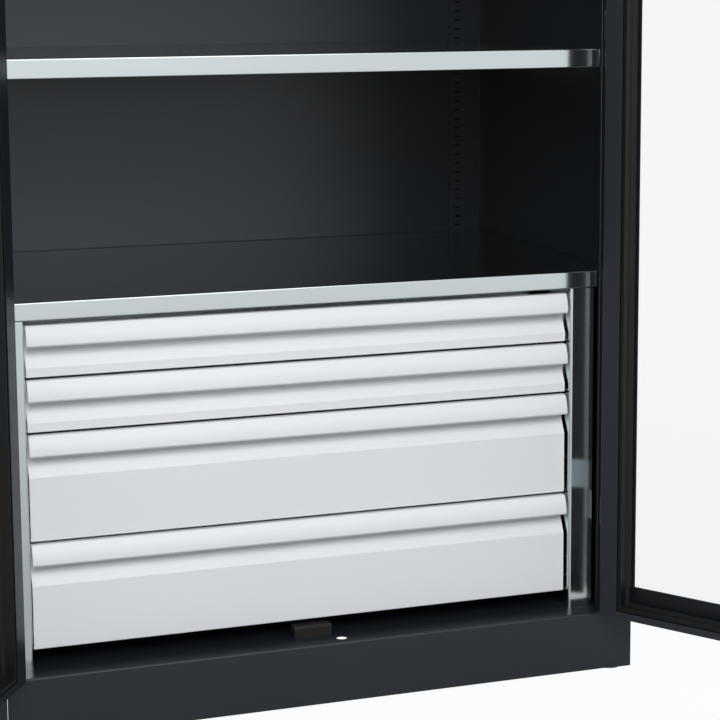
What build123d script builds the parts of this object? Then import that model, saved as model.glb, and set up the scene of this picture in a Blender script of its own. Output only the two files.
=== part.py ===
from build123d import *
import os
from math import cos, radians, sin, sqrt

# A full-height steel cabinet with two hinged window doors, four shelves and four drawers below.
# X runs to the right, Y to the back, Z up. The origin is on the floor, midway between
# the side walls and midway between the front plane and the back. All sizes are millimetres.
# The doors stand open at rest, and the drawers are shut.

os.makedirs("parts", exist_ok=True)

# Body: overall size and sheet
width = 1000.0
depth = 600.0
height = 1950.0
body_sheet = 1.5
bend = 2.5
weld_fit = 0.2
cut_over = 1.0

# Body: base, header and corner posts
plinth_clearance = 3.0
base_top = 93.0
header_height = 40.0
header_shelf = 62.0
folded_rim = 15.0
post_face = 39.5
post_return = 39.0
stop_lip = 3.8
plinth_joint = 43.5
joint_gap = 0.7

# Slotted rails and shelf clips
slot_pitch = 15.5
first_slot = 111.5
slot_width = 10.0
slot_height = 3.0
rear_rail_inset = 45.0
rear_rail_width = 31.0
rear_rail_depth = 4.5
front_rail_flange = 12.0
front_rail_set_back = 5.0
clip_width = 16.0
clip_reach = 20.0
clip_rise = 10.0
clip_sheet = 2.0
clip_play = 0.5

# Shelves
shelf_sheet = 1.0
shelf_edge = 27.0
shelf_fold = 14.0
shelf_bend = 1.6
shelf_post_gap = 5.5
shelf_wall_gap = 1.5
shelf_rail_gap = 0.8
first_shelf_slot = 53
shelf_slot_step = 21
shelf_count = 3
unit_top_level = 612.3
unit_top_edge = 24.8

# Drawer unit sides and tie
unit_inset = 48.8
unit_sheet = 1.5
unit_bend = 4.0
unit_post_gap = 10.8
unit_back_gap = 15.0
unit_foot = 24.0
unit_top_gap = 0.6
tie_height = 60.0
tie_level = 320.0
tie_fold = 18.0

# Drawer fronts, from the bottom of each front up
front_side_gap = 3.2
front_face_set_back = 51.0
front_sheet = 1.5
small_front = 73.5
large_front = 151.5
front_gap = 4.0
lowest_front = 117.3
lip_height = 30.0
lip_out = 10.7
lip_lean = 32.0
lip_brow_radius = 2.5
lip_curl_radius = 2.0
riser_radius = 2.5
slope_depth = 11.0
slope_height = 22.4
riser_below_lip = 8.0
crease_radius = 1.5
front_bottom_fold = 11.0

# Drawer trays and telescopic runners
tray_side_gap = 14.7
tray_sheet = 1.2
tray_lift = 9.0
small_tray = 52.0
large_tray = 128.0
tray_back_gap = 30.0
tray_rim = 6.0
rail_back_gap = 8.5
rail_front_gap = 3.0
outer_rail_height = 35.0
outer_rail_sheet = 2.0
outer_rail_depth = 9.0
middle_rail_sheet = 1.6
middle_rail_depth = 7.6
inner_rail_sheet = 1.6
inner_rail_depth = 7.2
rail_play = 0.4
rail_lift = 8.0

# Door leaves
open_angle = 121.3
hinge_inset = 2.5
hinge_proud = 0.3
leaf_edge = 4.4
leaf_set_back = 6.8
leaf_thickness = 30.0
leaf_sheet = 1.2
leaf_round = 1.2
leaf_floor_gap = 4.0
leaf_head_gap = 4.0
leaf_middle_gap = 3.0
hinge_margin = 43.8
free_margin = 82.0
rail_margin = 44.7
hinge_return = 30.0
free_return = 72.0
rail_return = 11.0
strip_width = 12.0
strip_overlap = 11.5
strip_sheet = 1.5
strip_gap = 0.4

# Glazing strips and panes
strip_shadow = 5.0
glazing_wall = 1.5
glazing_foot = 10.0
glazing_inset = 0.6
pane_thickness = 4.0
pane_tuck = 9.0

# Hinges
knuckle_radius = 5.0
knuckle_height = 44.0
knuckle_gap = 0.4
pin_radius = 2.5
pin_play = 0.05
pin_stop = 3.0
wing_sheet = 1.5
wing_width = 30.0
notch_play = 0.8
lower_hinge = 267.0

# Lock, lever and rods
rod_x = 38.4
rod_width = 12.0
rod_sheet = 5.0
rod_depth = 20.0
rod_travel = 18.0
rod_bottom_lift = 1.6
rod_bore_radius = 8.1
rod_hole_play = 0.8
rod_hole_height = 5.0
rod_head_gap = 24.0
yoke_near = 1.0
yoke_wall = 3.0
yoke_drop = 30.0
drive_pin_radius = 3.0
drive_pin_play = 0.45
cam_radius = 18.0
cam_sheet = 3.0
cam_depth = 12.0
spindle_radius = 5.0
spindle_play = 0.06
case_width = 54.0
case_height = 110.0
case_sheet = 1.5
case_depth = 24.0
guide_width = 30.0
guide_reach = 24.0
guide_sheet = 2.0
guide_inset = 62.0
plate_width = 34.0
plate_height = 132.0
plate_thickness = 4.0
lever_length = 118.0
lever_tip = 16.0
lever_thickness = 11.0
lever_standoff = 17.5
boss_radius = 13.0
boss_collar = 8.0
barrel_radius = 7.0
barrel_depth = 9.0
barrel_play = 0.05
keyway_width = 1.6
keyway_length = 8.0
keyway_depth = 3.0

# Stop blocks, small holes and feet
block_width = 57.0
block_depth = 20.0
block_height = 17.5
block_bevel = 3.0
block_set_back = 38.5
block_screw_radius = 3.0
block_screw_head = 4.6
block_screw_play = 0.1
block_screw_spacing = 32.0
base_hole_radius = 3.0
base_hole_inset = 10.5
base_hole_set_back = 12.0
foot_side_inset = 26.5
foot_end_inset = 15.0
foot_radius = 10.8
foot_thickness = 8.0
foot_screw_radius = 5.0
foot_screw_top = 62.0
foot_screw_play = 0.1
foot_nut_radius = 9.0
foot_nut_height = 5.0
bracket_level = 38.0
bracket_sheet = 4.0
bracket_width = 34.0

# Places worked out from the sizes above
half = width / 2
front = -depth / 2
back = depth / 2
wall_inside = half - body_sheet
back_inside = back - body_sheet
post_inside = half - post_face
recess = front + post_return
header_under = height - header_height
pan_half = half - plinth_joint
pan_wide = wall_inside - weld_fit
pan_wide_front = recess + body_sheet + weld_fit
front_rail_width = wall_inside - post_inside - body_sheet
front_rail_centre = wall_inside - front_rail_width / 2
rear_rail_centre = half - rear_rail_inset
base_hole_x = pan_half - base_hole_inset
shelf_front_half = post_inside - shelf_post_gap
unit_half = post_inside - unit_inset
unit_flange = unit_inset - unit_post_gap
unit_back = back - unit_back_gap
front_half = unit_half - front_side_gap
tray_half = unit_half - tray_side_gap
tray_back = unit_back - tray_back_gap
hinge_x = post_inside + hinge_inset
hinge_y = front - hinge_proud
foot_x = half - foot_side_inset
foot_y = back - foot_end_inset
side_slots = int((header_under - first_slot) / slot_pitch)
unit_face = recess
unit_under_edge = unit_top_level - unit_top_edge
face_y = front + front_face_set_back
block_y = front + block_set_back
leaf_bottom = base_top + leaf_floor_gap
leaf_top = header_under - leaf_head_gap
leaf_width = hinge_x - leaf_edge - leaf_middle_gap / 2
leaf_inner = leaf_set_back + leaf_thickness
upper_hinge = leaf_top + leaf_bottom - lower_hinge
middle_hinge = (leaf_top + leaf_bottom) / 2
hinge_levels = [lower_hinge, middle_hinge, upper_hinge]
handle_level = middle_hinge
notch_reach = knuckle_radius + notch_play
notch_height = 2 * (knuckle_height + notch_play)
leaf_end = leaf_edge + leaf_width
leaf_height = leaf_top - leaf_bottom
skin_inside = leaf_set_back + leaf_sheet
rod_t = hinge_x - rod_x
drive_radius = rod_travel / sqrt(2)
ring_hinge = hinge_return + strip_shadow + glazing_wall
ring_free = free_return + strip_shadow + glazing_wall
ring_rail = rail_return + strip_shadow + glazing_wall

# The right leaf's face plane: its x runs from the hinge axis to the free edge, its y is up
# and its normal points to the cabinet's side of the leaf.
turn = radians(open_angle)
leaf_face = Plane(
    origin=(hinge_x, hinge_y, 0),
    x_dir=(-cos(turn), -sin(turn), 0),
    z_dir=(-sin(turn), cos(turn), 0),
)


def save(builder, name):
    """Label a finished piece and write it under its own name."""
    builder.part.label = name
    export_step(builder.part, f"parts/{name}.step")


def save_mirrored(builder, name):
    """Write the left-hand twin of a right-hand piece."""
    with BuildPart() as twin:
        mirror(builder.part, about=Plane.YZ)
    save(twin, name)


def bent_sheet(points, radius, thickness, side):
    """Draw the outline of a sheet folded along the points, in the open sketch."""
    with BuildLine() as outline:
        FilletPolyline(*points, radius=radius)
        offset(amount=thickness, side=side, kind=Kind.INTERSECTION)
    make_face(outline.edges())


# Side wall with its folded front post, one sheet from plinth to roof
with BuildPart() as side_panel:
    with BuildSketch(Plane.XY.offset(plinth_clearance)):
        bent_sheet(
            [
                (half, back),
                (half, front),
                (post_inside, front),
                (post_inside, recess),
                (post_inside - stop_lip, recess),
            ],
            bend,
            body_sheet,
            Side.RIGHT,
        )
    extrude(amount=height - plinth_clearance)
    with BuildSketch(Plane.XY.offset(plinth_clearance)):
        with Locations((pan_half + joint_gap, front)):
            Rectangle(
                post_inside + bend - pan_half - joint_gap,
                body_sheet,
                align=(Align.MIN, Align.MIN),
            )
    extrude(amount=base_top - plinth_clearance)
    with BuildSketch(Plane.XZ.offset(cut_over - front)):
        for level in hinge_levels:
            with Locations((post_inside, level)):
                Rectangle(2 * (hinge_x + notch_reach - post_inside), notch_height)
    extrude(amount=front - cut_over - hinge_y - notch_reach, mode=Mode.SUBTRACT)
save(side_panel, "side_panel_right")
save_mirrored(side_panel, "side_panel_left")

# Back wall, let in between the side walls
with BuildPart() as back_panel:
    with BuildSketch(Plane.XZ.offset(-back)):
        with Locations((0, (height + plinth_clearance) / 2)):
            Rectangle(2 * pan_wide, height - plinth_clearance)
    extrude(amount=body_sheet)
save(back_panel, "back_panel")

# Base pan: floor sheet, plinth front and back flange, with the rod slot and two drain holes
with BuildPart() as base_pan:
    with BuildSketch(Plane.YZ.offset(-pan_half)):
        bent_sheet(
            [
                (front + folded_rim, plinth_clearance),
                (front, plinth_clearance),
                (front, base_top),
                (back_inside, base_top),
                (back_inside, plinth_clearance),
            ],
            bend,
            body_sheet,
            Side.RIGHT,
        )
    extrude(amount=2 * pan_half)
    with BuildSketch(Plane.XY.offset(base_top)):
        with Locations((0, (pan_wide_front + back_inside - bend) / 2)):
            Rectangle(2 * pan_wide, back_inside - bend - pan_wide_front)
    extrude(amount=-body_sheet)
    with BuildSketch(Plane.XY.offset(base_top)):
        with Locations((rod_x, hinge_y + rod_depth + rod_sheet / 2)):
            Circle(rod_bore_radius)
        with Locations((0, front + base_hole_set_back)):
            with GridLocations(2 * base_hole_x, 0, 2, 1):
                Circle(base_hole_radius)
        with Locations((0, block_y + block_depth / 2)):
            with GridLocations(block_screw_spacing, 0, 2, 1):
                Circle(block_screw_radius + block_screw_play)
    extrude(amount=-2 * body_sheet, mode=Mode.SUBTRACT)
save(base_pan, "base_pan")

# Roof pan: top sheet, front header and the ledge under it that the doors shut against
with BuildPart() as roof_pan:
    with BuildSketch(Plane.YZ.offset(-pan_half)):
        bent_sheet(
            [
                (front + header_shelf, header_under + folded_rim),
                (front + header_shelf, header_under),
                (front, header_under),
                (front, height),
                (back_inside, height),
                (back_inside, header_under),
            ],
            bend,
            body_sheet,
            Side.RIGHT,
        )
    extrude(amount=2 * pan_half)
    with BuildSketch(Plane.XY.offset(height)):
        with Locations((0, (pan_wide_front + back_inside - bend) / 2)):
            Rectangle(2 * pan_wide, back_inside - bend - pan_wide_front)
    extrude(amount=-body_sheet)
    with BuildSketch(Plane.XY.offset(header_under)):
        with Locations((rod_x, hinge_y + rod_depth + rod_sheet / 2)):
            Circle(rod_bore_radius)
        with Locations((0, block_y + block_depth / 2)):
            with GridLocations(block_screw_spacing, 0, 2, 1):
                Circle(block_screw_radius + block_screw_play)
    extrude(amount=2 * body_sheet, mode=Mode.SUBTRACT)
save(roof_pan, "roof_pan")

# Slotted rails: the rear pair on the back wall, the front pair inside the posts
rail_bottom = base_top
rail_height = header_under - base_top
slot_middle = first_slot + slot_pitch * (side_slots - 1) / 2


def slotted_rail(centre, rail_width, face_y_level, flange_depth, toward):
    """Cut a slotted web and give it two flanges that run away from its face."""
    with BuildPart() as rail:
        with BuildSketch(Plane.XZ.offset(-face_y_level)):
            with Locations((centre, rail_bottom + rail_height / 2)):
                Rectangle(rail_width, rail_height)
            with Locations((centre, slot_middle)):
                with GridLocations(0, slot_pitch, 1, side_slots):
                    Rectangle(slot_width, slot_height, mode=Mode.SUBTRACT)
        extrude(amount=-toward * body_sheet)
        with BuildSketch(Plane.XZ.offset(-face_y_level)):
            with Locations((centre, rail_bottom + rail_height / 2)):
                with GridLocations(rail_width - body_sheet, 0, 2, 1):
                    Rectangle(body_sheet, rail_height)
        extrude(amount=-toward * flange_depth)
    return rail


rear_rail_face = back_inside - rear_rail_depth
front_rail_face = recess + front_rail_set_back
rear_rail = slotted_rail(rear_rail_centre, rear_rail_width, rear_rail_face, rear_rail_depth, 1)
front_rail = slotted_rail(front_rail_centre, front_rail_width, front_rail_face, front_rail_flange, -1)
save(rear_rail, "rear_rail_right")
save_mirrored(rear_rail, "rear_rail_left")
save(front_rail, "front_rail_right")
save_mirrored(front_rail, "front_rail_left")

# Shelves: a folded zinc-coated tray, narrow between the posts and wide behind them
shelf_wide = wall_inside - shelf_wall_gap
shelf_back = rear_rail_face - shelf_rail_gap
shelf_step_y = front_rail_face + shelf_rail_gap


def shelf(top, edge):
    """Fold one shelf whose top surface and front edge height are given."""
    with BuildPart() as tray:
        with BuildSketch(Plane.YZ.offset(-shelf_front_half)):
            bent_sheet(
                [
                    (recess + shelf_fold, top - edge),
                    (recess, top - edge),
                    (recess, top),
                    (shelf_step_y + shelf_fold, top),
                ],
                shelf_bend,
                shelf_sheet,
                Side.RIGHT,
            )
        extrude(amount=2 * shelf_front_half)
        with BuildSketch(Plane.XY.offset(top)):
            with Locations((0, (shelf_step_y + shelf_back) / 2)):
                Rectangle(2 * shelf_wide, shelf_back - shelf_step_y)
        extrude(amount=-shelf_sheet)
        with BuildSketch(Plane.XY.offset(top)):
            with Locations((0, (shelf_step_y + shelf_back) / 2)):
                Rectangle(2 * shelf_wide, shelf_back - shelf_step_y)
                Rectangle(
                    2 * (shelf_wide - shelf_sheet),
                    shelf_back - shelf_step_y - 2 * shelf_sheet,
                    mode=Mode.SUBTRACT,
                )
            with Locations((0, shelf_step_y)):
                Rectangle(2 * shelf_wide, 4 * shelf_sheet, mode=Mode.SUBTRACT)
            with Locations((0, shelf_back)):
                with GridLocations(2 * rear_rail_centre, 0, 2, 1):
                    Rectangle(clip_width + 2 * clip_play, 4 * shelf_sheet, mode=Mode.SUBTRACT)
        extrude(amount=-edge)
    return tray


shelf_tops = [
    first_slot + slot_pitch * (first_shelf_slot + shelf_slot_step * level) + clip_rise + shelf_sheet
    for level in range(shelf_count)
]
for number, top in enumerate(shelf_tops):
    save(shelf(top, shelf_edge), f"shelf_{number + 1}")
save(shelf(unit_top_level, unit_top_edge), "drawer_unit_top")

# Shelf clips: a hook in the slot and a tab under the shelf, four to each shelf
with BuildPart() as shelf_clips:
    for top in shelf_tops:
        tab_top = top - shelf_sheet
        for centre, face_level, toward in (
            (rear_rail_centre, rear_rail_face, -1),
            (front_rail_centre, front_rail_face, 1),
        ):
            for hand in (-1, 1):
                with BuildSketch(Plane.YZ.offset(hand * centre - clip_width / 2)):
                    with BuildLine():
                        Polyline(
                            (face_level, tab_top),
                            (face_level + toward * clip_reach, tab_top),
                            (face_level + toward * clip_reach, tab_top - clip_sheet),
                            (face_level + toward * clip_sheet, tab_top - clip_sheet),
                            (face_level + toward * clip_sheet, tab_top - 2 * clip_rise),
                            (face_level, tab_top - 2 * clip_rise),
                            close=True,
                        )
                    make_face()
                extrude(amount=clip_width)
                with BuildSketch(Plane.XZ.offset(-face_level)):
                    with Locations((hand * centre, tab_top - clip_rise)):
                        Rectangle(slot_width - clip_play, slot_height - clip_play)
                extrude(amount=toward * (body_sheet + clip_sheet / 2))
save(shelf_clips, "shelf_clips")

# Drawer unit side: one zinc-coated sheet with a front flange and a foot
with BuildPart() as unit_side:
    with BuildSketch(Plane.XY.offset(base_top)):
        bent_sheet(
            [
                (unit_half, unit_back),
                (unit_half, unit_face),
                (unit_half + unit_flange, unit_face),
            ],
            unit_bend,
            unit_sheet,
            Side.LEFT,
        )
    extrude(amount=unit_under_edge - unit_top_gap - base_top)
    with BuildSketch(Plane.YZ.offset(unit_half)):
        with Locations((unit_back, unit_top_level - shelf_sheet)):
            Rectangle(
                unit_back - recess - shelf_fold - shelf_rail_gap,
                unit_top_edge,
                align=(Align.MAX, Align.MAX),
            )
    extrude(amount=unit_sheet)
    with BuildSketch(Plane.XY.offset(base_top)):
        with Locations((unit_half, unit_back)):
            Rectangle(unit_foot, unit_back - unit_face - unit_bend, align=(Align.MIN, Align.MAX))
    extrude(amount=unit_sheet)
save(unit_side, "drawer_unit_side_right")
save_mirrored(unit_side, "drawer_unit_side_left")

# Rear tie that holds the two unit sides apart
with BuildPart() as unit_tie:
    with BuildSketch(Plane.YZ.offset(-unit_half)):
        bent_sheet(
            [
                (unit_back - tie_fold, tie_level + tie_height),
                (unit_back, tie_level + tie_height),
                (unit_back, tie_level),
                (unit_back - tie_fold, tie_level),
            ],
            bend,
            unit_sheet,
            Side.RIGHT,
        )
    extrude(amount=2 * unit_half)
save(unit_tie, "drawer_unit_tie")

# Drawers, numbered from the top: the height and the bottom of each front
front_heights = [small_front, small_front, large_front, large_front]
front_bottoms = []
next_bottom = lowest_front
for front_height in reversed(front_heights):
    front_bottoms.insert(0, next_bottom)
    next_bottom += front_height + front_gap


def drawer_front(bottom, front_height):
    """Fold one front: a flat panel, a slope, a riser and a full-width rounded grip lip."""
    top = bottom + front_height
    lip_bottom = top - lip_height
    crease_top = lip_bottom - riser_below_lip
    lean = radians(lip_lean)
    foot_level = lip_bottom + front_sheet + lip_curl_radius
    roof_level = top - front_sheet
    sweep_height = roof_level - foot_level - lip_brow_radius * (1 - sin(lean))
    sweep_radius = sweep_height / sin(lean)
    brow_reach = lip_brow_radius * cos(lean) + sweep_radius * (1 - cos(lean))
    roof_front = face_y - lip_out + front_sheet + brow_reach
    with BuildPart() as panel:
        with BuildSketch(Plane.YZ.offset(-front_half)):
            with BuildLine():
                FilletPolyline(
                    (face_y + front_bottom_fold, bottom),
                    (face_y, bottom),
                    (face_y, crease_top - slope_height),
                    (face_y + slope_depth, crease_top),
                    (face_y + slope_depth, roof_level - riser_radius),
                    radius=crease_radius,
                )
                riser = JernArc(
                    (face_y + slope_depth, roof_level - riser_radius), (0, 1), riser_radius, 90
                )
                roof = Line(riser @ 1, (roof_front, roof_level))
                brow = JernArc(roof @ 1, (-1, 0), lip_brow_radius, 90 - lip_lean)
                sweep_arc = JernArc(brow @ 1, brow % 1, sweep_radius, lip_lean)
                JernArc(sweep_arc @ 1, sweep_arc % 1, lip_curl_radius, 90)
                offset(amount=front_sheet, side=Side.RIGHT)
            make_face()
        extrude(amount=2 * front_half)
    return panel


# Each tray is a folded box with an inward rim, fixed behind the riser of its front
tray_front = face_y + slope_depth + front_sheet
rail_front = tray_front + rail_front_gap
rail_length = tray_back - rail_back_gap - rail_front


def drawer_tray(bottom, tray_height):
    """Make one open-topped tray from its outer block, its hollow and its mouth."""
    tray_length = tray_back - tray_front
    tray_middle = (tray_front + tray_back) / 2
    with BuildPart() as tray:
        with BuildSketch(Plane.XY.offset(bottom + tray_lift)):
            with Locations((0, tray_middle)):
                Rectangle(2 * tray_half, tray_length)
        extrude(amount=tray_height)
        with BuildSketch(Plane.XY.offset(bottom + tray_lift + tray_sheet)):
            with Locations((0, tray_middle)):
                Rectangle(2 * (tray_half - tray_sheet), tray_length - 2 * tray_sheet)
        extrude(amount=tray_height - 2 * tray_sheet, mode=Mode.SUBTRACT)
        with BuildSketch(Plane.XY.offset(bottom + tray_lift + tray_sheet)):
            with Locations((0, tray_middle)):
                Rectangle(2 * (tray_half - tray_rim), tray_length - 2 * tray_rim)
        extrude(amount=tray_height, mode=Mode.SUBTRACT)
    return tray


def channel_rails(face_x, toward, channel_depth, channel_height, sheet, levels):
    """Extrude a C-shaped rail on each side of every level: web at face_x, flanges toward X."""
    with BuildPart() as rails:
        with BuildSketch(Plane.XZ.offset(-rail_front)):
            for level in levels:
                for hand in (-1, 1):
                    web_side = Align.MIN if hand * toward > 0 else Align.MAX
                    with Locations((hand * face_x, level)):
                        Rectangle(channel_depth, channel_height, align=(web_side, Align.CENTER))
                    with Locations((hand * (face_x + toward * sheet), level)):
                        Rectangle(
                            channel_depth,
                            channel_height - 2 * sheet,
                            align=(web_side, Align.CENTER),
                            mode=Mode.SUBTRACT,
                        )
        extrude(amount=-rail_length)
    return rails


middle_rail_height = outer_rail_height - 2 * (outer_rail_sheet + rail_play)
inner_rail_height = middle_rail_height - 2 * (middle_rail_sheet + rail_play)
middle_rail_face = unit_half - outer_rail_sheet - rail_play
rail_levels = [bottom + tray_lift + rail_lift + outer_rail_height / 2 for bottom in front_bottoms]
tray_heights = [small_tray if tall == small_front else large_tray for tall in front_heights]

for number in range(1, len(front_heights) + 1):
    bottom = front_bottoms[number - 1]
    levels = [rail_levels[number - 1]]
    save(drawer_front(bottom, front_heights[number - 1]), f"drawer_{number}_front")
    save(drawer_tray(bottom, tray_heights[number - 1]), f"drawer_{number}_tray")
    inner_rails = channel_rails(
        tray_half, 1, inner_rail_depth, inner_rail_height, inner_rail_sheet, levels
    )
    save(inner_rails, f"drawer_{number}_inner_rails")
    middle_rails = channel_rails(
        middle_rail_face, -1, middle_rail_depth, middle_rail_height, middle_rail_sheet, levels
    )
    save(middle_rails, f"drawer_{number}_middle_rails")

# Fixed runner rails on the unit sides, a pair for each drawer
fixed_rails = channel_rails(
    unit_half, -1, outer_rail_depth, outer_rail_height, outer_rail_sheet, rail_levels
)
save(fixed_rails, "fixed_runner_rails")


def leaf_rectangle(hinge_side, free_side, rails):
    """Draw a rectangle on the leaf's face, set in from its edges by three margins."""
    with Locations((leaf_edge + hinge_side, leaf_bottom + rails)):
        Rectangle(
            leaf_width - hinge_side - free_side,
            leaf_height - 2 * rails,
            align=(Align.MIN, Align.MIN),
        )


def door_leaf(with_lock):
    """Fold one leaf: an outer skin with its window, four edges and an inner return all round."""
    with BuildPart() as leaf:
        with BuildSketch(leaf_face.offset(leaf_set_back)):
            leaf_rectangle(0, 0, 0)
        extrude(amount=leaf_thickness)
        fillet(leaf.edges(), radius=leaf_round)
        with BuildSketch(leaf_face.offset(skin_inside)):
            leaf_rectangle(leaf_sheet, leaf_sheet, leaf_sheet)
        extrude(amount=leaf_thickness - 2 * leaf_sheet, mode=Mode.SUBTRACT)
        with BuildSketch(leaf_face):
            leaf_rectangle(hinge_margin, free_margin, rail_margin)
        extrude(amount=skin_inside, mode=Mode.SUBTRACT)
        with BuildSketch(leaf_face.offset(skin_inside)):
            leaf_rectangle(hinge_return, free_return, rail_return)
        extrude(amount=leaf_thickness, mode=Mode.SUBTRACT)
        if with_lock:
            with BuildSketch(leaf_face.offset(rod_depth - rod_hole_play)):
                for level in (leaf_bottom, leaf_top):
                    with Locations((rod_t, level)):
                        Rectangle(rod_width + 2 * rod_hole_play, rod_hole_height)
            extrude(amount=rod_sheet + 2 * rod_hole_play, mode=Mode.SUBTRACT)
            with BuildSketch(leaf_face):
                with Locations((rod_t, handle_level)):
                    Circle(boss_collar)
            extrude(amount=skin_inside, mode=Mode.SUBTRACT)
    return leaf


# Door leaves: the right one carries the lock, the left one is plain
save(door_leaf(True), "right_door_leaf")
save_mirrored(door_leaf(False), "left_door_leaf")

# Glazing strips: a black angle all round the window that clamps the pane to the skin
with BuildPart() as glazing:
    with BuildSketch(leaf_face.offset(skin_inside + pane_thickness)):
        foot_out = glazing_wall + glazing_foot
        leaf_rectangle(ring_hinge - foot_out, ring_free - foot_out, ring_rail - foot_out)
        with BuildSketch(mode=Mode.SUBTRACT):
            leaf_rectangle(ring_hinge, ring_free, ring_rail)
    extrude(amount=glazing_wall)
    with BuildSketch(leaf_face.offset(skin_inside + pane_thickness)):
        leaf_rectangle(ring_hinge - glazing_wall, ring_free - glazing_wall, ring_rail - glazing_wall)
        with BuildSketch(mode=Mode.SUBTRACT):
            leaf_rectangle(ring_hinge, ring_free, ring_rail)
    extrude(amount=leaf_inner - glazing_inset - skin_inside - pane_thickness)
save(glazing, "right_glazing_strip")
save_mirrored(glazing, "left_glazing_strip")

# Window panes, clear sheet against the inside of the skin
with BuildPart() as pane:
    with BuildSketch(leaf_face.offset(skin_inside)):
        tuck = glazing_wall + pane_tuck
        leaf_rectangle(ring_hinge - tuck, ring_free - tuck, ring_rail - tuck)
    extrude(amount=pane_thickness)
save(pane, "right_window_pane")
save_mirrored(pane, "left_window_pane")

# Closing strip on the right leaf, which holds the left leaf shut
with BuildPart() as closing_strip:
    with BuildSketch(leaf_face.offset(leaf_set_back)):
        with Locations((leaf_end - leaf_round, handle_level)):
            Rectangle(strip_width, leaf_height, align=(Align.MAX, Align.CENTER))
    extrude(amount=-strip_sheet)
    with BuildSketch(leaf_face.offset(leaf_set_back - strip_gap)):
        with Locations((leaf_end + strip_overlap, handle_level)):
            Rectangle(strip_width + leaf_round, leaf_height, align=(Align.MAX, Align.CENTER))
    extrude(amount=-strip_sheet)
save(closing_strip, "closing_strip")

# Hinges: the lower knuckle and its wing on the post, the upper pair on the leaf, and a pin
with BuildPart() as post_knuckles:
    for level in hinge_levels:
        with BuildSketch(Plane.XY.offset(level)):
            with Locations((hinge_x, hinge_y)):
                Circle(knuckle_radius)
            with Locations((post_inside, hinge_y)):
                Rectangle(wing_sheet, wing_width, align=(Align.MAX, Align.MIN))
        extrude(amount=-knuckle_height)
        with BuildSketch(Plane.XY.offset(level)):
            with Locations((hinge_x, hinge_y)):
                Circle(pin_radius)
        extrude(amount=pin_stop - knuckle_height, mode=Mode.SUBTRACT)
    mirror(about=Plane.YZ)
save(post_knuckles, "hinge_post_knuckles")

with BuildPart() as hinge_pins:
    for level in hinge_levels:
        with BuildSketch(Plane.XY.offset(level - knuckle_height + pin_stop)):
            with Locations((hinge_x, hinge_y)):
                Circle(pin_radius)
        extrude(amount=2 * (knuckle_height - pin_stop))
    mirror(about=Plane.YZ)
save(hinge_pins, "hinge_pins")

with BuildPart() as leaf_knuckles:
    for level in hinge_levels:
        with BuildSketch(Plane.XY.offset(level + knuckle_gap)):
            with Locations((hinge_x, hinge_y)):
                Circle(knuckle_radius)
        extrude(amount=knuckle_height - knuckle_gap)
        with BuildSketch(leaf_face):
            with Locations((leaf_edge, level + knuckle_gap)):
                Rectangle(wing_sheet, knuckle_height - knuckle_gap, align=(Align.MAX, Align.MIN))
        extrude(amount=wing_width)
        with BuildSketch(Plane.XY.offset(level + knuckle_gap)):
            with Locations((hinge_x, hinge_y)):
                Circle(pin_radius + pin_play)
        extrude(amount=knuckle_height - knuckle_gap - pin_stop + pin_play, mode=Mode.SUBTRACT)
save(leaf_knuckles, "right_door_knuckles")
save_mirrored(leaf_knuckles, "left_door_knuckles")

# Lever plate on the outside of the right leaf
with BuildPart() as lever_plate:
    with BuildSketch(leaf_face.offset(leaf_set_back - plate_thickness)):
        with Locations((rod_t, handle_level)):
            RectangleRounded(plate_width, plate_height, plate_width / 3)
    extrude(amount=plate_thickness)
    outer_edges = lever_plate.edges().group_by(Axis(leaf_face.origin, leaf_face.z_dir))[0]
    fillet(outer_edges, radius=plate_thickness / 3)
    with BuildSketch(leaf_face.offset(leaf_set_back - plate_thickness)):
        with Locations((rod_t, handle_level)):
            Circle(spindle_radius + spindle_play)
    extrude(amount=plate_thickness, mode=Mode.SUBTRACT)
save(lever_plate, "lever_plate")

# Lever, pointing to the hinges while the rods are drawn in
lever_front = -lever_standoff - lever_thickness
collar_end = leaf_set_back - plate_thickness - knuckle_gap
with BuildPart() as lever:
    with BuildSketch(leaf_face.offset(lever_front)):
        with Locations((rod_t, handle_level)):
            Circle(boss_radius)
        with Locations((rod_t - lever_length + boss_radius + lever_tip / 2, handle_level)):
            Circle(lever_tip / 2)
        make_hull()
    extrude(amount=lever_thickness)
    fillet(lever.edges(), radius=lever_thickness / 4)
    with BuildSketch(leaf_face.offset(-lever_standoff)):
        with Locations((rod_t, handle_level)):
            Circle(boss_collar)
    extrude(amount=collar_end + lever_standoff)
    with BuildSketch(leaf_face.offset(lever_front)):
        with Locations((rod_t, handle_level)):
            Circle(barrel_radius + barrel_play)
    extrude(amount=barrel_depth, mode=Mode.SUBTRACT)
save(lever, "lever")

# Key barrel in the lever's boss, with its keyway
with BuildPart() as lock_barrel:
    with BuildSketch(leaf_face.offset(lever_front)):
        with Locations((rod_t, handle_level)):
            Circle(barrel_radius)
    extrude(amount=barrel_depth - barrel_play)
    with BuildSketch(leaf_face.offset(lever_front)):
        with Locations((rod_t, handle_level)):
            Rectangle(keyway_width, keyway_length)
    extrude(amount=keyway_depth, mode=Mode.SUBTRACT)
save(lock_barrel, "lock_barrel")

# Cam on its spindle, with two drive pins that move the rods in opposite directions
with BuildPart() as cam:
    with BuildSketch(leaf_face.offset(collar_end)):
        with Locations((rod_t, handle_level)):
            Circle(spindle_radius)
    extrude(amount=cam_depth - collar_end)
    with BuildSketch(leaf_face.offset(cam_depth)):
        with Locations((rod_t, handle_level)):
            Circle(cam_radius)
    extrude(amount=cam_sheet)
    with BuildSketch(leaf_face.offset(cam_depth + cam_sheet)):
        with Locations((rod_t, handle_level)):
            with PolarLocations(drive_radius, 2, start_angle=135):
                Circle(drive_pin_radius)
    extrude(amount=rod_depth + rod_sheet + cut_over - cam_depth - cam_sheet)
save(cam, "lock_cam")

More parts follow.
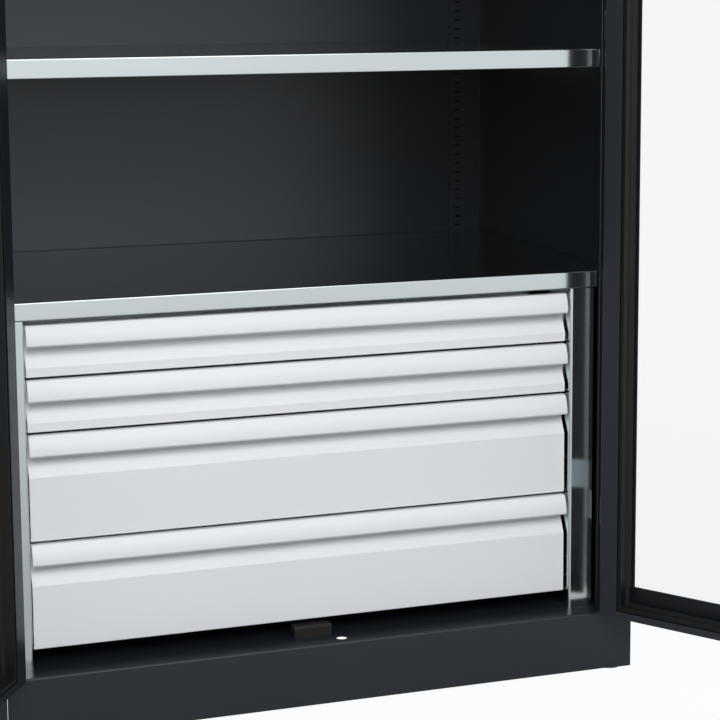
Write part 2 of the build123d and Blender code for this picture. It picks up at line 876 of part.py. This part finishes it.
# Lock case behind the skin, open on its inner side
with BuildPart() as lock_case:
    with BuildSketch(leaf_face.offset(skin_inside)):
        with Locations((rod_t, handle_level)):
            Rectangle(case_width, case_height)
    extrude(amount=case_depth)
    with BuildSketch(leaf_face.offset(skin_inside + case_sheet)):
        with Locations((rod_t, handle_level)):
            Rectangle(case_width - 2 * case_sheet, case_height - 2 * case_sheet)
    extrude(amount=case_depth, mode=Mode.SUBTRACT)
    with BuildSketch(leaf_face.offset(rod_depth - rod_hole_play)):
        with Locations((rod_t, handle_level)):
            Rectangle(rod_width + 2 * rod_hole_play, 2 * case_height)
    extrude(amount=case_depth, mode=Mode.SUBTRACT)
    with BuildSketch(leaf_face.offset(skin_inside)):
        with Locations((rod_t, handle_level)):
            Circle(spindle_radius + spindle_play)
    extrude(amount=case_sheet, mode=Mode.SUBTRACT)
save(lock_case, "lock_case")

# Locking rods: flat bars whose slotted heads are driven by the cam's pins
pin_room = drive_pin_radius + drive_pin_play
pin_near = drive_radius * cos(radians(45))
head_reach = drive_radius + pin_room + yoke_wall
head_top = pin_near + pin_room + yoke_wall


def locking_rod(way):
    """Cut one rod: way is -1 for the lower rod and 1 for the upper one."""
    bar_end = leaf_height / 2 - rod_bottom_lift
    with BuildPart() as rod:
        with BuildSketch(leaf_face.offset(rod_depth)):
            with Locations((rod_t, handle_level + way * (bar_end + rod_head_gap) / 2)):
                Rectangle(rod_width, bar_end - rod_head_gap)
            head_x = rod_t + way * (head_reach + yoke_near) / 2
            slot_x = rod_t + way * (drive_radius + pin_near) / 2
            with Locations((head_x, handle_level + way * (yoke_drop - head_top) / 2)):
                Rectangle(head_reach - yoke_near, yoke_drop + head_top)
            with Locations((slot_x, handle_level - way * pin_near)):
                SlotOverall(drive_radius - pin_near + 2 * pin_room, 2 * pin_room, mode=Mode.SUBTRACT)
        extrude(amount=rod_sheet)
    return rod


save(locking_rod(-1), "lower_rod")
save(locking_rod(1), "upper_rod")

# Rod guides: four small brackets behind the skin
guide_levels = [
    leaf_bottom + guide_inset,
    handle_level - case_height,
    handle_level + case_height,
    leaf_top - guide_inset,
]
with BuildPart() as rod_guides:
    with BuildSketch(leaf_face.offset(skin_inside)):
        for level in guide_levels:
            with Locations((rod_t, level)):
                Rectangle(guide_width, guide_sheet)
    extrude(amount=guide_reach)
    with BuildSketch(leaf_face.offset(rod_depth - rod_hole_play)):
        for level in guide_levels:
            with Locations((rod_t, level)):
                Rectangle(rod_width + 2 * rod_hole_play, 2 * guide_sheet)
    extrude(amount=rod_sheet + 2 * rod_hole_play, mode=Mode.SUBTRACT)
save(rod_guides, "rod_guides")

# Stop blocks, one on the base pan and one under the roof ledge, and their screws
middle_level = (base_top + header_under) / 2
with BuildPart() as stop_blocks:
    with BuildSketch(Plane.YZ.offset(-block_width / 2)):
        with BuildLine():
            Polyline(
                (block_y, base_top),
                (block_y, base_top + block_height - block_bevel),
                (block_y + block_bevel, base_top + block_height),
                (block_y + block_depth, base_top + block_height),
                (block_y + block_depth, base_top),
                close=True,
            )
        make_face()
    extrude(amount=block_width)
    with Locations((0, block_y + block_depth / 2, base_top + block_height)):
        with GridLocations(block_screw_spacing, 0, 2, 1):
            CounterBoreHole(
                radius=block_screw_radius + block_screw_play,
                counter_bore_radius=block_screw_head + block_screw_play,
                counter_bore_depth=block_bevel,
                depth=block_height,
            )
    mirror(about=Plane.XY.offset(middle_level))
save(stop_blocks, "stop_blocks")

with BuildPart() as block_screws:
    seat = base_top + block_height - block_bevel
    for radius, low, high in (
        (block_screw_radius, base_top - 2 * body_sheet, seat),
        (block_screw_head, seat, seat + 2 * block_bevel / 3),
    ):
        with BuildSketch(Plane.XY.offset(low)):
            with Locations((0, block_y + block_depth / 2)):
                with GridLocations(block_screw_spacing, 0, 2, 1):
                    Circle(radius)
        extrude(amount=high - low)
    mirror(about=Plane.XY.offset(middle_level))
save(block_screws, "stop_block_screws")

# Levelling feet and the corner brackets that carry them
with BuildPart() as feet:
    for radius, low, high in (
        (foot_radius, 0, foot_thickness),
        (foot_screw_radius, foot_thickness, foot_screw_top),
    ):
        with BuildSketch(Plane.XY.offset(low)):
            with GridLocations(2 * foot_x, 2 * foot_y, 2, 2):
                Circle(radius)
        extrude(amount=high - low)
    with BuildSketch(Plane.XY.offset(bracket_level)):
        with GridLocations(2 * foot_x, 2 * foot_y, 2, 2):
            RegularPolygon(foot_nut_radius, 6)
    extrude(amount=-foot_nut_height)
save(feet, "levelling_feet")

with BuildPart() as foot_brackets:
    with BuildSketch(Plane.XY.offset(bracket_level)):
        with Locations((post_inside + body_sheet, front + bend)):
            Rectangle(
                wall_inside - post_inside - body_sheet, bracket_width, align=(Align.MIN, Align.MIN)
            )
        with Locations((foot_x, -foot_y)):
            Circle(foot_screw_radius + foot_screw_play, mode=Mode.SUBTRACT)
    extrude(amount=bracket_sheet)
    mirror(about=Plane.YZ)
    mirror(about=Plane.XZ)
save(foot_brackets, "foot_brackets")
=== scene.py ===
import math

import bmesh
import bpy
from mathutils import Matrix, Vector


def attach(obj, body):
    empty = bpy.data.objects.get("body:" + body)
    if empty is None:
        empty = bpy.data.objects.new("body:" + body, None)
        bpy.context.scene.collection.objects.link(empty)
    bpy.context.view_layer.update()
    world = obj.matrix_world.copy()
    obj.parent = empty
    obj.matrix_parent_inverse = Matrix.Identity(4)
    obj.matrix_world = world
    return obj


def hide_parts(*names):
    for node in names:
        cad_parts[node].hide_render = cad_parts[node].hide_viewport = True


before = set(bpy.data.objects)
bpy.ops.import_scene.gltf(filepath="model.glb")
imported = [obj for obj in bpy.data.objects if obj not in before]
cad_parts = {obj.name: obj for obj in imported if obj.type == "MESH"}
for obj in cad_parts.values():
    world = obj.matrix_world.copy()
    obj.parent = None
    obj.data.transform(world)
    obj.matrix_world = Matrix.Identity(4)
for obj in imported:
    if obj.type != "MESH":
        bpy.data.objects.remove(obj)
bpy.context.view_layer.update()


# Studio: a pale floor sheet that runs under the cabinet. To the camera, and in shiny metal, it is
# white paper; on it the cabinet leaves only a soft shadow. In shiny metal its white is painted
# darker near the cabinet, as shade round its foot.
class Shade:
    """A socket in a node tree. Arithmetic on it adds Math nodes, and add() any other node."""

    def __init__(self, tree, socket):
        self.tree = tree
        self.socket = socket

    def add(self, kind, settings, sockets, out=0):
        node = self.tree.nodes.new(kind)
        for name, value in settings.items():
            setattr(node, name, value)
        for name, value in sockets.items():
            if isinstance(value, Shade):
                self.tree.links.new(value.socket, node.inputs[name])
            else:
                node.inputs[name].default_value = value
        return Shade(self.tree, node.outputs[out])

    def math(self, operation, *values):
        sockets = dict(enumerate((self, *values)))
        return self.add("ShaderNodeMath", {"operation": operation}, sockets)

    def __add__(self, other):
        return self.math("ADD", other)

    def __mul__(self, other):
        return self.math("MULTIPLY", other)

    def __sub__(self, other):
        return self.math("SUBTRACT", other)

    def __rsub__(self, other):
        return self.math("MULTIPLY", -1.0) + other

    __radd__ = __add__
    __rmul__ = __mul__

    def feed(self, node, name):
        self.tree.links.new(self.socket, node.inputs[name])


def seen_rays(tree):
    """Two masks: 1 for rays straight from the camera, and 1 for rays off or through a piece."""
    path = tree.nodes.new("ShaderNodeLightPath")
    straight = Shade(tree, path.outputs["Is Camera Ray"])
    shine = Shade(tree, path.outputs["Is Glossy Ray"])
    return straight, shine.math("MAXIMUM", Shade(tree, path.outputs["Is Transmission Ray"]))


def rising(reach, near, far, low, high):
    """A value that goes from low at the near reach, in metres, to high at the far one."""
    sockets = {"Value": reach, "From Min": near, "From Max": far, "To Min": low, "To Max": high}
    return reach.add("ShaderNodeMapRange", {}, sockets)


floor_mesh = bmesh.new()
bmesh.ops.create_grid(floor_mesh, x_segments=1, y_segments=1, size=60.0)
floor_data = bpy.data.meshes.new("studio_floor")
floor_mesh.to_mesh(floor_data)
floor_mesh.free()
studio_floor = bpy.data.objects.new("studio_floor", floor_data)
bpy.context.scene.collection.objects.link(studio_floor)

floor_paper = bpy.data.materials.new("floor_paper")
floor_paper.use_nodes = True
paper_tree = floor_paper.node_tree
paper_straight, paper_shine = seen_rays(paper_tree)
paper_bsdf = paper_tree.nodes["Principled BSDF"]
paper_bsdf.inputs["Base Color"].default_value = (0.45, 0.45, 0.45, 1.0)
paper_bsdf.inputs["Roughness"].default_value = 0.9
paper_bsdf.inputs["Specular IOR Level"].default_value = 0.0
white_light = {"Color": (1.0, 1.0, 1.0, 1.0), "Strength": 1.0}
paper_glow = paper_straight.add("ShaderNodeEmission", {}, white_light)
paper_place = Shade(paper_tree, paper_tree.nodes.new("ShaderNodeTexCoord").outputs["Object"])
paper_reach = paper_place.add(
    "ShaderNodeVectorMath", {"operation": "LENGTH"}, {0: paper_place}, out=1
)
paper_far = rising(paper_reach, 1.0, 2.5, 0.96, 1.0)
# Painted shade: seen in shiny metal, the floor's white fades from 1.0 far away to 0.3 near the
# cabinet.
paper_sheen_painted_shade = rising(paper_reach, 0.5, 5.2, 0.3, 1.0)
paper_white = paper_straight * paper_far + paper_shine * paper_sheen_painted_shade
paper_mix = paper_straight.add(
    "ShaderNodeMixShader",
    {},
    {0: paper_white, 1: Shade(paper_tree, paper_bsdf.outputs[0]), 2: paper_glow},
)
paper_mix.feed(paper_tree.nodes["Material Output"], "Surface")
floor_data.materials.append(floor_paper)

# Daylight tent: an even pale room all round. High in front a large soft lamp shapes the folds of
# the sheet, and a larger one at the same place gives only the gloss. A third, high behind, lights
# the outside of the back.
room = bpy.data.worlds.new("room")
room.use_nodes = True
bpy.context.scene.world = room
room_tree = room.node_tree
room_straight, room_shine = seen_rays(room_tree)
room_light = 0.42
room_level = room_light + (room_straight + room_shine) * (1.0 - room_light)
room_level.feed(room_tree.nodes["Background"], "Strength")
room_tree.nodes["Background"].inputs["Color"].default_value = (1.0, 1.0, 1.0, 1.0)

front_place = (-0.9, -5.2, 3.9)
front_aim = (0.0, -0.2, 0.6)
for lamp_name, place, aim, lamp_size, watts, shines in (
    ("key_lamp", front_place, front_aim, 3.2, 260.0, False),
    ("key_sheen", front_place, front_aim, 6.4, 260.0, True),
    ("back_lamp", (1.8, 4.6, 4.2), (0.0, 0.2, 0.9), 3.0, 200.0, False),
):
    lamp_data = bpy.data.lights.new(lamp_name, "AREA")
    lamp_data.shape = "SQUARE"
    lamp_data.size = lamp_size
    lamp_data.energy = watts
    lamp = bpy.data.objects.new(lamp_name, lamp_data)
    bpy.context.scene.collection.objects.link(lamp)
    lamp.visible_glossy = shines
    lamp.visible_diffuse = not shines
    lamp.location = place
    lamp.rotation_euler = (Vector(aim) - Vector(place)).to_track_quat("-Z", "Y").to_euler()

# Camera at the photograph's viewing angle, a little above the middle of the cabinet and to its
# left, looking down at the drawers.
camera_turn = (81.7049, 0.3833, -19.5336)
camera_data = bpy.data.cameras.new("camera")
camera_data.sensor_width = 36.0
camera_data.lens = 102.832
camera_data.shift_y = -0.10
camera = bpy.data.objects.new("camera", camera_data)
camera.location = (-0.90353, -3.03218, 1.03523)
camera.rotation_euler = [math.radians(angle) for angle in camera_turn]
bpy.context.scene.collection.objects.link(camera)
bpy.context.scene.camera = camera
bpy.context.scene.view_settings.view_transform = "Standard"


# Body: folded and welded sheet steel, powder coated in a matt anthracite with a very fine
# orange-peel skin. The coat also covers the base and roof pans, rails, foot brackets and door
# leaves. Behind the rear rails the coat carries painted shade: it is made dull black there, so
# their slots look black.
def start_finish(name, sockets):
    """Make a named finish; its shader, with those sockets set, and object coordinates come too."""
    finish = bpy.data.materials.new(name)
    finish.use_nodes = True
    shader = finish.node_tree.nodes["Principled BSDF"]
    for socket, value in sockets.items():
        shader.inputs[socket].default_value = value
    place = finish.node_tree.nodes.new("ShaderNodeTexCoord")
    return finish, shader, Shade(finish.node_tree, place.outputs["Object"])


def tone(red, green, blue):
    """The linear colour of a screen tone from 0 to 255."""
    screen = [part / 255 for part in (red, green, blue)]
    linear = [((s + 0.055) / 1.055) ** 2.4 if s > 0.04045 else s / 12.92 for s in screen]
    return (*linear, 1.0)


def along(place, axis):
    """One of the object coordinates: 0 runs across the cabinet, 1 to its back and 2 up."""
    return place.add("ShaderNodeSeparateXYZ", {}, {"Vector": place}, out=axis)


def stretched(place, factors):
    """The object coordinates, stretched by three factors."""
    return place.add("ShaderNodeVectorMath", {"operation": "MULTIPLY"}, {0: place, 1: factors})


def speckle(place, scale, detail=2.0):
    """Noise of that many spots per metre, from 0 to 1."""
    return place.add("ShaderNodeTexNoise", {}, {"Vector": place, "Scale": scale, "Detail": detail})


def between(mask, low, high):
    """A colour that goes from low to high with the mask."""
    sockets = {"Factor": mask, 6: low, 7: high}
    return mask.add("ShaderNodeMix", {"data_type": "RGBA"}, sockets, out=2)


def relief(height, distance):
    """A bump at half strength from a height mask; distance is its depth in metres."""
    sockets = {"Height": height, "Distance": distance, "Strength": 0.5}
    return height.add("ShaderNodeBump", {}, sockets)


def dress(finish, *names):
    """Give CAD nodes their finish."""
    for name in names:
        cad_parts[name].data.materials.clear()
        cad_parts[name].data.materials.append(finish)


anthracite, coat_shader, coat_place = start_finish(
    "anthracite_powder_coat",
    {"Specular IOR Level": 0.5, "Specular Tint": (0.88, 0.95, 1.0, 1.0)},
)
rail_middle = 0.455
rail_reach = 0.0145
rail_back = 0.2956
wall_core = 0.2995
coat_across = along(coat_place, 0).math("ABSOLUTE")
coat_depth = along(coat_place, 1)
at_rail = (coat_across - rail_middle).math("ABSOLUTE").math("LESS_THAN", rail_reach)
before_wall_core = coat_depth.math("LESS_THAN", wall_core)
# Painted shade: behind the rear rails the coat is made dull black and rough, where the rails keep
# the light off.
rail_painted_shade = at_rail * coat_depth.math("GREATER_THAN", rail_back) * before_wall_core
coat_drift = speckle(coat_place, 3.0)
coat_tone = between(coat_drift, tone(22, 27, 32), tone(25, 30, 35))
between(rail_painted_shade, coat_tone, tone(0, 0, 0)).feed(coat_shader, "Base Color")
(coat_drift * 0.06 + 0.33 + rail_painted_shade * 0.6).feed(coat_shader, "Roughness")
relief(speckle(coat_place, 900.0), 0.00003).feed(coat_shader, "Normal")
dress(
    anthracite,
    "side_panel_right",
    "side_panel_left",
    "back_panel",
    "base_pan",
    "roof_pan",
    "front_rail_right",
    "front_rail_left",
    "rear_rail_right",
    "rear_rail_left",
    "foot_brackets",
    "right_door_leaf",
    "left_door_leaf",
    "closing_strip",
)

# Shelves, drawer unit and drawer trays: bright zinc-coated sheet, rolled along its length and
# folded at the edges. The coating is smooth enough to mirror the dark cabinet softly.
zinc, zinc_shader, zinc_place = start_finish("zinc_coated_sheet", {"Metallic": 1.0})
zinc_rolled = speckle(stretched(zinc_place, (1.0, 60.0, 60.0)), 14.0, 3.0)
zinc_cloud = speckle(zinc_place, 2.5)
(0.12 + zinc_rolled * 0.02 + zinc_cloud * 0.02).feed(zinc_shader, "Roughness")
between(zinc_cloud, tone(199, 207, 210), tone(203, 210, 213)).feed(zinc_shader, "Base Color")
dress(
    zinc,
    "shelf_1",
    "shelf_2",
    "shelf_3",
    "drawer_unit_top",
    "drawer_unit_side_right",
    "drawer_unit_side_left",
    "drawer_unit_tie",
    "shelf_clips",
    "drawer_1_tray",
    "drawer_2_tray",
    "drawer_3_tray",
    "drawer_4_tray",
)

# Drawer fronts: one folded sheet each, with flat panel, slope, riser and full-width grip lip, in a
# satin light grey powder coat. The tray is fixed behind the riser.
light_grey, front_shader, front_place = start_finish(
    "light_grey_powder_coat", {"Roughness": 0.4, "Specular IOR Level": 0.5}
)
front_drift = speckle(front_place, 4.0)
between(front_drift, tone(221, 225, 228), tone(226, 229, 231)).feed(front_shader, "Base Color")
relief(speckle(front_place, 1100.0), 0.00002).feed(front_shader, "Normal")
dress(light_grey, "drawer_1_front", "drawer_2_front", "drawer_3_front", "drawer_4_front")

# Runners, hinges, lock parts, rods and feet: rolled, pressed and turned steel with a plain zinc
# plating. They are welded or riveted in place, and the feet are screwed into their brackets.
plating, plating_shader, plating_place = start_finish(
    "zinc_plated_steel", {"Metallic": 1.0, "Base Color": tone(190, 193, 195)}
)
(0.28 + speckle(plating_place, 120.0) * 0.12).feed(plating_shader, "Roughness")
dress(
    plating,
    "fixed_runner_rails",
    "levelling_feet",
    "hinge_post_knuckles",
    "hinge_pins",
    "right_door_knuckles",
    "left_door_knuckles",
    "lock_case",
    "rod_guides",
    "lock_cam",
    "lower_rod",
    "upper_rod",
    *(f"drawer_{n}_{part}" for n in (1, 2, 3, 4) for part in ("inner_rails", "middle_rails")),
)

# Glazing strips: one black extruded plastic strip round each window, mitred at the corners. Its
# foot clamps the pane to the skin, its wall stands up beside the return of the leaf with a thin lip
# that closes the gap there, and a chamfer runs down to the pane.
black, black_shader, black_place = start_finish(
    "black_moulded_plastic", {"Roughness": 0.5, "Specular IOR Level": 0.2}
)
black_drift = speckle(black_place, 6.0)
between(black_drift, tone(16, 16, 16), tone(20, 19, 18)).feed(black_shader, "Base Color")
relief(speckle(black_place, 1500.0), 0.00002).feed(black_shader, "Normal")

# The strip's section in millimetres: how far each point reaches in over the pane from the strip's
# wall, and how far it lies behind the hinge line.
strip_profile = (
    (-11.5, 12.05),
    (4.0, 12.05),
    (4.0, 17.4),
    (0.0, 21.6),
    (0.0, 35.6),
    (-0.7, 36.4),
    (-1.6, 35.6),
    (-6.1, 35.2),
    (-6.1, 34.2),
    (-1.5, 34.2),
    (-1.5, 14.5),
    (-2.5, 13.5),
    (-11.5, 13.5),
)
window_middle = Vector((211.95, 0.0, 1001.5))
window_half_width = 171.05
window_half_height = 887.0
sharp_fold = 0.5

# A leaf at rest, in millimetres from its hinge line: x runs along the leaf, y to its inside and z
# up. The left leaf mirrors the right one.
hinge_line = Vector((0.463, -0.3003, 0.0))
leaf_turn = math.radians(-58.7)
millimetres = Matrix.Diagonal((0.001, -0.001, 0.001, 1.0))
right_leaf = Matrix.Translation(hinge_line) @ Matrix.Rotation(leaf_turn, 4, "Z") @ millimetres
left_leaf = Matrix.Scale(-1.0, 4, (1.0, 0.0, 0.0)) @ right_leaf
for side, leaf_frame in (("right", right_leaf), ("left", left_leaf)):
    strip_mesh = bmesh.new()
    ring = [
        strip_mesh.verts.new((right * window_half_width, 0.0, up * window_half_height))
        for right, up in ((1, 1), (-1, 1), (-1, -1), (1, -1))
    ]
    loop = [strip_mesh.edges.new((ring[n - 1], ring[n])) for n in range(4)]
    start_loop = loop
    for reach, depth in strip_profile:
        for corner in ring:
            corner.co.x = math.copysign(window_half_width - reach, corner.co.x)
            corner.co.z = math.copysign(window_half_height - reach, corner.co.z)
            corner.co.y = depth
        if (reach, depth) == strip_profile[-1]:
            break
        grown = bmesh.ops.extrude_edge_only(strip_mesh, edges=loop)["geom"]
        ring = [part for part in grown if isinstance(part, bmesh.types.BMVert)]
        loop = [part for part in grown if isinstance(part, bmesh.types.BMEdge)]
        loop = [edge for edge in loop if all(corner in ring for corner in edge.verts)]
    bmesh.ops.bridge_loops(strip_mesh, edges=start_loop + loop)
    bmesh.ops.bevel(
        strip_mesh,
        geom=[edge for edge in strip_mesh.edges if edge.calc_face_angle(0.0) > sharp_fold],
        offset=0.3,
        affect="EDGES",
        segments=2,
        profile=0.5,
        material=-1,
    )
    bmesh.ops.translate(strip_mesh, vec=window_middle, verts=strip_mesh.verts)
    bmesh.ops.transform(strip_mesh, matrix=leaf_frame, verts=strip_mesh.verts)
    bmesh.ops.recalc_face_normals(strip_mesh, faces=strip_mesh.faces)
    strip_data = bpy.data.meshes.new(side + "_window_bead")
    strip_mesh.to_mesh(strip_data)
    strip_mesh.free()
    strip_data.materials.append(black)
    window_bead = bpy.data.objects.new(side + "_window_bead", strip_data)
    bpy.context.scene.collection.objects.link(window_bead)
    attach(window_bead, side + "_door")
    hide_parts(side + "_glazing_strip")

# Lever and its plate: moulded in the same black plastic. The plate sits on the outside of the right
# leaf, and the lever turns in it.
dress(black, "lever", "lever_plate")

# Stop blocks: black rubber, on the floor sheet and under the roof ledge, each held by two black
# screws.
rubber, rubber_shader, rubber_place = start_finish(
    "black_rubber", {"Base Color": tone(26, 25, 24), "Roughness": 0.6, "Specular IOR Level": 0.25}
)
relief(speckle(rubber_place, 800.0), 0.00004).feed(rubber_shader, "Normal")
dress(rubber, "stop_blocks", "stop_block_screws")

# Panes: clear sheet, laid against the inside of the skin and held there by the glazing strips. The
# gloss changes very slightly over its face.
clear, clear_shader, clear_place = start_finish(
    "clear_pane", {"Base Color": tone(60, 62, 64), "Alpha": 0.045}
)
(0.035 + speckle(clear_place, 6.0) * 0.01).feed(clear_shader, "Roughness")
dress(clear, "right_window_pane", "left_window_pane")

# Key barrel: a turned metal barrel with bright nickel plating. It sits in the lever's boss and
# turns with the key.
nickel, nickel_shader, nickel_place = start_finish(
    "nickel_plating", {"Metallic": 1.0, "Base Color": tone(205, 203, 198)}
)
(0.15 + speckle(nickel_place, 900.0) * 0.06).feed(nickel_shader, "Roughness")
dress(nickel, "lock_barrel")
